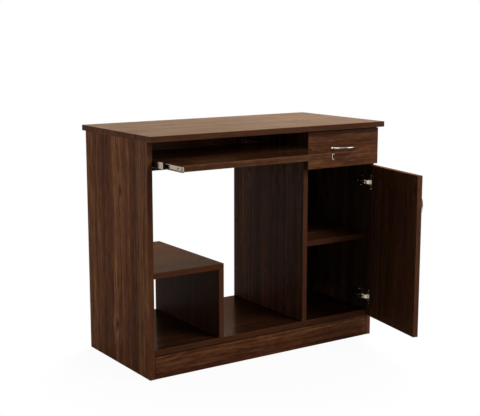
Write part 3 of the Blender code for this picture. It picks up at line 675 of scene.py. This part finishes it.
hardboard = {
    "sheen": 0.2,
    "skin": (0.001, 0.002),                         # how far in from the raw side the print is taken to begin
    "strandRate": (260.0, 260.0, 420.0),
    "strands": (5.0, 0.7),                          # detail and roughness
    "strandFrom": (0.32, 0.68),
    "darkFibre": (0.062, 0.0310, 0.0170),
    "fibre": (0.115, 0.0600, 0.0330),
    "blotch": (9.0, 3.0, 0.5),
    "blotchStain": (0.35, (0.045, 0.0220, 0.0130)),
    "print": {"Seed": 21.0, "Contrast": 0.6},
    # painted shade: a dark tone laid over most of the print, for the shade inside the cupboard
    "faceShare": 0.75,
    "face": (0.034, 0.0360, 0.0250),
    "rough": (0.2, 0.8, 0.62, 0.48),                # from the loose strands to the dense ones
    "bump": (0.25, 0.0002),
}


def hardboardMaterial(name, faceAxis, rawSide, inward):
    made, tree, shader, place = newMaterial(name, **{"Specular IOR Level": hardboard["sheen"]})
    parts = split(tree, place)
    shown = ease(tree, parts[faceAxis], *(rawSide + inward * skin for skin in hardboard["skin"]))
    strandAt = vectorCalc(tree, "MULTIPLY", place, hardboard["strandRate"])
    strands = noise(tree, strandAt, 1.0, *hardboard["strands"])
    blotch = noise(tree, place, *hardboard["blotch"])
    strandMask = ease(tree, strands, *hardboard["strandFrom"])
    fibre = blendColor(tree, strandMask, opaque(hardboard["darkFibre"]), opaque(hardboard["fibre"]))
    fibre = overlayTone(tree, fibre, blotch, *hardboard["blotchStain"])
    lie = pack(tree, parts[2], parts[0], parts[1])
    printed = useGroup(tree, figureGroup, {"Vector": lie, **hardboard["print"]})
    face = blendColor(tree, hardboard["faceShare"], printed["Color"], opaque(hardboard["face"]))
    tree.links.new(blendColor(tree, shown, fibre, face), shader.inputs["Base Color"])
    tree.links.new(ease(tree, strands, *hardboard["rough"]), shader.inputs["Roughness"])
    addBump(tree, shader, strands, *hardboard["bump"])
    return made


backLow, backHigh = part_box("cabinet_back")
dress("cabinet_back", hardboardMaterial("cupboard_back_board", 1, backHigh.y, -1))
dress("drawer_bottom", hardboardMaterial("drawer_bottom_board", 2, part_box("drawer_bottom")[0].z, 1))

# plated metal: rolling lines or polish, blotches of the plating, fine scratches

platingGroup, platingIn, platingOut = newGroup(
    "plating",
    [
        ("Vector", "Vector", (0.0, 0.0, 0.0)),
        ("Lines", "Vector", (900.0, 4.0, 900.0)),
        ("Blotch", "Float", 60.0),
        ("Base Roughness", "Float", 0.3),
        ("Spread", "Float", 0.15),
    ],
    [("Tone", "Float"), ("Roughness", "Float"), ("Height", "Float")],
)

platingSetup = {
    "lines": (3.0, 0.6),                    # detail and roughness
    "blotch": (4.0, 0.6),
    "scratches": (240.0, 1700.0, 900.0),
    "scratchFrom": (0.70, 0.78),
    "blotchTone": 0.8,
    "lineTone": 0.5,
    "scratchRough": 0.08,
    "scratchDepth": -0.5,
    "bumpReach": 0.0002,
}


def buildPlating(tree, given, out):
    lines = noise(tree, vectorCalc(tree, "MULTIPLY", given["Vector"], given["Lines"]), 1.0, *platingSetup["lines"])
    evenLines = centred(tree, lines)
    blotch = centred(tree, noise(tree, given["Vector"], given["Blotch"], *platingSetup["blotch"]))
    scratchAt = vectorCalc(tree, "MULTIPLY", given["Vector"], platingSetup["scratches"])
    scratch = ease(tree, noise(tree, scratchAt, 1.0, 1.0), *platingSetup["scratchFrom"])
    tone = calc(tree, "MULTIPLY_ADD", blotch, platingSetup["blotchTone"], 0.5)
    tone = calc(tree, "MULTIPLY_ADD", evenLines, platingSetup["lineTone"], tone, clamp=True)
    tree.links.new(tone, out["Tone"])
    rough = calc(tree, "MULTIPLY_ADD", blotch, given["Spread"], given["Base Roughness"])
    rough = calc(tree, "MULTIPLY_ADD", evenLines, given["Spread"], rough)
    rough = calc(tree, "MULTIPLY_ADD", scratch, platingSetup["scratchRough"], rough, clamp=True)
    tree.links.new(rough, out["Roughness"])
    height = calc(tree, "MULTIPLY_ADD", scratch, platingSetup["scratchDepth"], lines)
    tree.links.new(height, out["Height"])


buildPlating(platingGroup, platingIn, platingOut)

hingeGrain = {"lines": (160.0, 160.0, 160.0), "bump": 0.05}
screwGrain = {"lines": (500.0, 500.0, 500.0), "bump": 0.08}
metals = {
    "slide_zinc": {
        "dim": (0.45, 0.385, 0.318), "bright": (0.63, 0.545, 0.458), "rough": 0.22, "spread": 0.14,
        "lines": (900.0, 5.0, 900.0), "bump": 0.10,
    },
    # painted light: the links' nickel plating, painted much lighter than the same plating below
    "hinge_link_plate": {
        "dim": (0.80, 0.715, 0.620), "bright": (0.96, 0.880, 0.785), "rough": 0.55, "spread": 0.10, **hingeGrain,
    },
    # painted shade: the nickel plating of the arms, plates, cups and shelf pins, painted dark
    "hinge_nickel_plate": {
        "dim": (0.20, 0.190, 0.175), "bright": (0.34, 0.325, 0.300), "rough": 0.18, "spread": 0.08, **hingeGrain,
    },
    "handle_chrome_plate": {
        "dim": (0.60, 0.585, 0.56), "bright": (0.80, 0.785, 0.76), "rough": 0.12, "spread": 0.08,
        "lines": (60.0, 60.0, 60.0), "bump": 0.02,
    },
    "screw_zinc": {
        "dim": (0.40, 0.375, 0.34), "bright": (0.62, 0.59, 0.54), "rough": 0.33, "spread": 0.2, **screwGrain,
    },
    "slide_screw": {
        "dim": (0.14, 0.115, 0.090), "bright": (0.30, 0.250, 0.200), "rough": 0.40, "spread": 0.2, **screwGrain,
    },
    "hinge_screw": {
        "dim": (0.16, 0.160, 0.155), "bright": (0.34, 0.335, 0.32), "rough": 0.25, "spread": 0.15, **screwGrain,
    },
    "nail_steel": {
        "dim": (0.16, 0.155, 0.15), "bright": (0.34, 0.33, 0.32), "rough": 0.42, "spread": 0.2, **screwGrain,
    },
}

# painted shade where a middle rail runs in the mouth of the outer one, distances from the rail's front end

paintedRailShade = {
    "front": (0.026, 0.033),
    "rear": (0.090, 0.072),
    "overlayTone": (0.9, (0.050, 0.0300, 0.0210)),
    "further": {"tray_right_middle_rail": 0.033},       # here the painted shade lies further forward, out to the end
}


def metalMaterial(name, setup):
    made, tree, shader, place = newMaterial(name, Metallic=1.0)
    plate = {"Lines": setup["lines"], "Base Roughness": setup["rough"], "Spread": setup["spread"]}
    plating = useGroup(tree, platingGroup, {"Vector": place, **plate})
    color = blendColor(tree, plating["Tone"], opaque(setup["dim"]), opaque(setup["bright"]))
    # painted shade: the middle rail is darkened behind its front end
    if "railShadeFrom" in setup:
        behind = calc(tree, "SUBTRACT", split(tree, place)[1], setup["railShadeFrom"])
        railShadeMask = times(tree, ease(tree, behind, *paintedRailShade["front"]), ease(tree, behind, *paintedRailShade["rear"]))
        color = overlayTone(tree, color, railShadeMask, *paintedRailShade["overlayTone"])
    tree.links.new(color, shader.inputs["Base Color"])
    tree.links.new(plating["Roughness"], shader.inputs["Roughness"])
    addBump(tree, shader, plating["Height"], setup["bump"], platingSetup["bumpReach"])
    return made


finishes = {name: metalMaterial(name, setup) for name, setup in metals.items()}

# moulded plastic of the slide guides

guidePlastic = {
    "sheen": 0.03,
    "color": (0.0025, 0.0024, 0.0023),
    "worn": (0.0065, 0.0062, 0.0058),
    "pebble": (2600.0, 2.0),
    "rub": (140.0, 4.0, 0.6),
    "rubFrom": (0.48, 0.70),
    "rough": (0.5, 0.36),                   # plain and rubbed
    "bump": (0.3, 0.0001),
}


def guideMoulding():
    made, tree, shader, place = newMaterial("guide_moulding", **{"Specular IOR Level": guidePlastic["sheen"]})
    pebble = noise(tree, place, *guidePlastic["pebble"])
    rub = ease(tree, noise(tree, place, *guidePlastic["rub"]), *guidePlastic["rubFrom"])
    color = blendColor(tree, rub, opaque(guidePlastic["color"]), opaque(guidePlastic["worn"]))
    tree.links.new(color, shader.inputs["Base Color"])
    tree.links.new(ease(tree, rub, 0.0, 1.0, *guidePlastic["rough"]), shader.inputs["Roughness"])
    addBump(tree, shader, pebble, *guidePlastic["bump"])
    return made


guideMaterial = guideMoulding()
for nodeName in nodes:
    if nodeName.endswith("_middle_rail"):
        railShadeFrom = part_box(nodeName)[0].y - paintedRailShade["further"].get(nodeName, 0.0)
        dress(nodeName, metalMaterial(nodeName + "_zinc", {**metals["slide_zinc"], "railShadeFrom": railShadeFrom}))
    elif nodeName.endswith("_rail"):
        dress(nodeName, finishes["slide_zinc"])
    elif nodeName.endswith("_guide"):
        dress(nodeName, guideMaterial)
    elif nodeName.endswith("_link"):
        dress(nodeName, finishes["hinge_link_plate"])
    elif "hinge" in nodeName or nodeName.startswith("shelf_pin"):
        dress(nodeName, finishes["hinge_nickel_plate"])
    elif nodeName.endswith("_handle"):
        dress(nodeName, finishes["handle_chrome_plate"])
print("fittings dressed")

# screws and nails: one Geometry Nodes tree makes a domed head with a cross recess at each point

fastenerInputs = [
    ("Head Radius", "NodeSocketFloat", 0.003),
    ("Head Height", "NodeSocketFloat", 0.0016),
    ("Recess Depth", "NodeSocketFloat", 0.0009),
    ("Shank Radius", "NodeSocketFloat", 0.0018),
    ("Shank Length", "NodeSocketFloat", 0.004),
    ("Finish", "NodeSocketMaterial", None),
]
headShape = {
    "drum": {"Vertices": 20, "Side Segments": 4, "Fill Segments": 2},
    "drawIn": 0.42,                 # share of the radius lost at the top
    "curve": 3.0,
    "bladeWidth": 0.22,             # of the radius
    "leastRecess": 0.00005,         # a shallower one is left out
    "shankSides": 12,
    "turns": {"Min": 0.0, "Max": math.pi, "Seed": 7},
    "smoothTo": 38.0,
}


def fastenerTree():
    tree = bpy.data.node_groups.new("fastenerHeads", "GeometryNodeTree")
    tree.is_modifier = True
    tree.interface.new_socket("Geometry", in_out="INPUT", socket_type="NodeSocketGeometry")
    for label, kind, value in fastenerInputs:
        socket = tree.interface.new_socket(label, in_out="INPUT", socket_type=kind)
        if value is not None:
            socket.default_value = value
    tree.interface.new_socket("Geometry", in_out="OUTPUT", socket_type="NodeSocketGeometry")
    given = tree.nodes.new("NodeGroupInput").outputs
    out = tree.nodes.new("NodeGroupOutput").inputs
    radius, height, recess = given["Head Radius"], given["Head Height"], given["Recess Depth"]

    # head: a drum whose rings draw in towards the top
    drum = put(tree, "GeometryNodeMeshCylinder", {**headShape["drum"], "Radius": radius, "Depth": height})
    x, y, z = split(tree, put(tree, "GeometryNodeInputPosition").outputs[0])
    lift = calc(tree, "ADD", calc(tree, "DIVIDE", z, height), 0.5)
    lost = times(tree, calc(tree, "POWER", lift, headShape["curve"]), headShape["drawIn"])
    draw = calc(tree, "SUBTRACT", 1.0, lost)
    domed = pack(tree, times(tree, x, draw), times(tree, y, draw), times(tree, lift, height))
    head = put(tree, "GeometryNodeSetPosition", {"Geometry": drum.outputs["Mesh"], "Position": domed}).outputs[0]

    # cross recess: two blades taken out of the top
    thin = times(tree, radius, headShape["bladeWidth"])
    tall = times(tree, recess, 2.0)
    onTop = pack(tree, 0.0, 0.0, height)
    cut = put(tree, "GeometryNodeMeshBoolean", {"Mesh 1": head}, operation="DIFFERENCE", solver="EXACT")
    for size in (pack(tree, radius, thin, tall), pack(tree, thin, radius, tall)):
        blade = put(tree, "GeometryNodeMeshCube", {"Size": size}).outputs["Mesh"]
        raised = put(tree, "GeometryNodeTransform", {"Geometry": blade, "Translation": onTop})
        tree.links.new(raised.outputs[0], cut.inputs["Mesh 2"])
    deepEnough = put(
        tree, "FunctionNodeCompare", {0: recess, 1: headShape["leastRecess"]}, operation="GREATER_THAN"
    ).outputs[0]
    choice = {"Switch": deepEnough, "False": head, "True": cut.outputs["Mesh"]}
    recessed = put(tree, "GeometryNodeSwitch", choice, input_type="GEOMETRY")

    shankSize = {"Radius": given["Shank Radius"], "Depth": given["Shank Length"]}
    shank = put(tree, "GeometryNodeMeshCylinder", {"Vertices": headShape["shankSides"], **shankSize})
    under = pack(tree, 0.0, 0.0, times(tree, given["Shank Length"], -0.5))
    sunk = put(tree, "GeometryNodeTransform", {"Geometry": shank.outputs["Mesh"], "Translation": under})
    whole = put(tree, "GeometryNodeJoinGeometry")
    tree.links.new(recessed.outputs[0], whole.inputs[0])
    tree.links.new(sunk.outputs[0], whole.inputs[0])

    # each head looks the way its point says, and is screwed home at its own turn
    facing = put(tree, "GeometryNodeInputNamedAttribute", {"Name": "facing"}, data_type="FLOAT_VECTOR")
    aimed = put(tree, "FunctionNodeAlignRotationToVector", {"Vector": facing.outputs[0]}, axis="Z")
    twist = put(tree, "FunctionNodeRandomValue", headShape["turns"], data_type="FLOAT").outputs["Value"]
    spin = put(tree, "FunctionNodeAxisAngleToRotation", {"Axis": (0.0, 0.0, 1.0), "Angle": twist})
    turned = put(
        tree, "FunctionNodeRotateRotation", {0: aimed.outputs[0], 1: spin.outputs[0]}, rotation_space="LOCAL"
    ).outputs[0]
    heads = {"Points": given["Geometry"], "Instance": whole.outputs[0], "Rotation": turned}
    placed = put(tree, "GeometryNodeInstanceOnPoints", heads)
    real = put(tree, "GeometryNodeRealizeInstances", {0: placed.outputs[0]})
    coated = put(tree, "GeometryNodeSetMaterial", {"Geometry": real.outputs[0], "Material": given["Finish"]})
    tree.links.new(coated.outputs[0], out["Geometry"])
    return tree


fasteners = fastenerTree()


def fixings(name, body, points, finish, slotName, **sizes):
    mesh = bpy.data.meshes.new(name + "_points")
    mesh.from_pydata([place for place, _ in points], [], [])
    attribute = mesh.attributes.new("facing", "FLOAT_VECTOR", "POINT")
    attribute.data.foreach_set("vector", [c for _, way in points for c in way])
    piece = bpy.data.objects.new(name, mesh)
    bpy.context.scene.collection.objects.link(piece)
    modifier = piece.modifiers.new("fasteners", "NODES")
    modifier.node_group = fasteners
    ids = {item.name: item.identifier for item in fasteners.interface.items_tree if item.in_out == "INPUT"}
    values = {label: value for label, _, value in fastenerInputs}
    values.update({label.replace("_", " "): value for label, value in sizes.items()})
    values["Finish"] = finishes[finish]
    for label, value in values.items():
        modifier[ids[label]] = value
    graph = bpy.context.evaluated_depsgraph_get()
    made = bpy.data.meshes.new_from_object(piece.evaluated_get(graph))
    piece.modifiers.clear()
    piece.data = made
    made.name = name
    made.shade_smooth()
    made.set_sharp_from_angle(angle=math.radians(headShape["smoothTo"]))
    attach(piece, body)


# slides: screws through the inner rails from the channel side, and through the outer rails into the walls

slideScrews = {
    "end": 0.0105,
    "step": 0.0210,
    "sheet": 0.0012,
    "innerHoles": (0, 1, 2, 4),         # of the five holes in a rail, from the front
    "outerHoles": (1, 3),
    "inner": {"Head_Radius": 0.0033, "Head_Height": 0.0017},
    "outer": {"Head_Radius": 0.0031, "Head_Height": 0.0005, "Recess_Depth": 0.0003},
}


def slidePoints(prefix, kind):
    end, step, sheet = slideScrews["end"], slideScrews["step"], slideScrews["sheet"]
    points = []
    for hand, side in (("left", 1.0), ("right", -1.0)):
        low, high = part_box(f"{prefix}_{hand}_{kind}_rail")
        row = [low.y + end, low.y + end + step, (low.y + high.y) / 2, high.y - end - step, high.y - end]
        wall, board = (low.x, high.x) if side > 0 else (high.x, low.x)
        if kind == "inner":      # head inside the channel, looking to the wall
            x, way = board - side * sheet, (-side, 0.0, 0.0)
        else:                    # flat head on the web, looking to the tray or drawer
            x, way = wall + side * sheet, (side, 0.0, 0.0)
        points += [((x, row[i], (low.z + high.z) / 2), way) for i in slideScrews[kind + "Holes"]]
    return points


for prefix in ("tray", "drawer"):
    innerPoints, outerPoints = slidePoints(prefix, "inner"), slidePoints(prefix, "outer")
    fixings(f"{prefix}_rail_screws", prefix, innerPoints, "slide_screw", "slide_steel", **slideScrews["inner"])
    fixings(f"{prefix}_wall_screws", "carcass", outerPoints, "screw_zinc", "slide_steel", **slideScrews["outer"])

# hinges: wing screws and adjusters on the carcass, flange screws on the door

hingeScrews = {
    "wings": 0.032,                     # between the two screws of a mounting plate
    "wingDrop": 0.0027,                 # the wing's face, in from the plate's high side
    "adjusters": (0.023, 0.041),        # behind the carcass front
    "adjusterSink": 0.0014,
    "flange": 0.045,                    # between the two screws of a cup
    "cupMiddle": -0.0091,
    "flangeTop": 0.0049,
    "head": {"Head_Radius": 0.0034, "Head_Height": 0.0018},
    "adjuster": {"Head_Radius": 0.0024, "Head_Height": 0.0016, "Shank_Length": 0.0065},
}
carcassPoints, adjusterPoints, doorPoints = [], [], []
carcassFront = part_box("left_side_panel")[0].y
swing = Vector(joints["door_swing"]["pos_m"])
openTurn = Matrix.Rotation(doorTurn, 3, "Z")
doorInward = tuple(openTurn @ Vector((0.0, 1.0, 0.0)))
toLeft = (-1.0, 0.0, 0.0)
for level in ("upper", "lower"):
    low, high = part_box(f"{level}_hinge_plate")
    middle = (low + high) / 2
    wingFace = high.x - hingeScrews["wingDrop"]
    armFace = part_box(f"{level}_hinge_arm")[0].x + hingeScrews["adjusterSink"]
    for end in (-0.5, 0.5):
        carcassPoints.append(((wingFace, middle.y, middle.z + end * hingeScrews["wings"]), toLeft))
        local = Vector((hingeScrews["cupMiddle"], hingeScrews["flangeTop"], end * hingeScrews["flange"]))
        place = Vector((swing.x, swing.y, middle.z)) + openTurn @ local
        doorPoints.append((tuple(place), doorInward))
    for back in hingeScrews["adjusters"]:
        adjusterPoints.append(((armFace, carcassFront + back, middle.z), toLeft))
for fixingName, body, points, headSize in (
    ("hinge_wing_screws", "carcass", carcassPoints, "head"),
    ("hinge_adjusters", "carcass", adjusterPoints, "adjuster"),
    ("hinge_flange_screws", "door", doorPoints, "head"),
):
    fixings(fixingName, body, points, "hinge_screw", "hinge_nickel", **hingeScrews[headSize])

# cupboard back: a row of nails round the edge, into the boards in front of it

backNails = {
    "inset": 0.006,
    "pitch": 0.085,
    "sink": 0.0001,
    "size": {
        "Head_Radius": 0.0017, "Head_Height": 0.0004, "Recess_Depth": 0.0,
        "Shank_Radius": 0.0006, "Shank_Length": 0.006,
    },
}
inset = backNails["inset"]
left, right = backLow.x + inset, backHigh.x - inset
bottom, top = backLow.z + inset, backHigh.z - inset
nailCorners = [Vector(corner) for corner in ((left, bottom), (right, bottom), (right, top), (left, top))]
nails = []
for start, end in zip(nailCorners, nailCorners[1:] + nailCorners[:1]):
    run = end - start
    count = max(1, round(run.length / backNails["pitch"]))
    for i in range(count):
        spot = start + run * i / count
        nails.append(((spot.x, backHigh.y - backNails["sink"], spot.y), (0.0, 1.0, 0.0)))
fixings("back_nails", "carcass", nails, "nail_steel", "slide_steel", **backNails["size"])
print("fasteners in")
